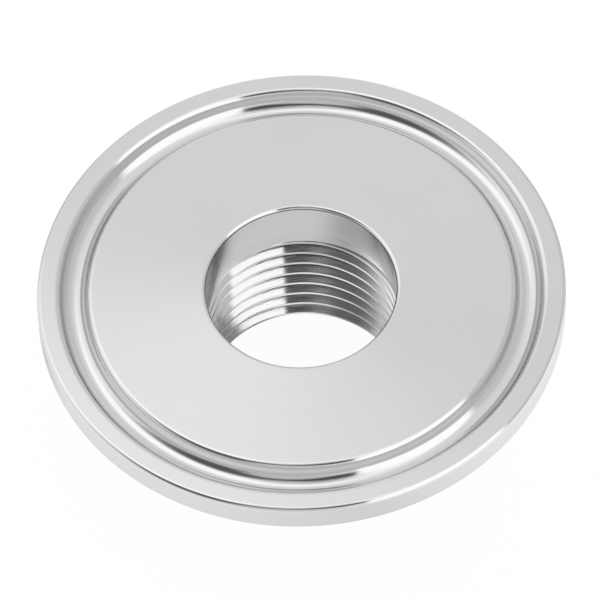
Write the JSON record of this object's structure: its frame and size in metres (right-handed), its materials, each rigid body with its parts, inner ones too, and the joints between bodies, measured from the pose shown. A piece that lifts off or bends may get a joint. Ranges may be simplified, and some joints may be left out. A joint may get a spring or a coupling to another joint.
{
  "type": "sanitary clamp threaded adapter",
  "caption": "Stainless sanitary clamp flange with a round gasket groove and a short hub, bored through with a plain mouth and a female taper pipe thread.",
  "frame": {"origin": "centre of the hub end face, on the bore axis", "axes": "+Z along the bore axis, from the hub end to the sealing face; +X and +Y are any two square directions, since the outside is fully round"},
  "size_m": [0.0506, 0.0506, 0.0191],
  "materials": {
    "steel": "fine turned stainless steel: satin flat faces, polished groove and bore edges, bright cut thread"
  },
  "bodies": {
    "root": {"adapter_body": "steel"}
  },
  "joints": []
}
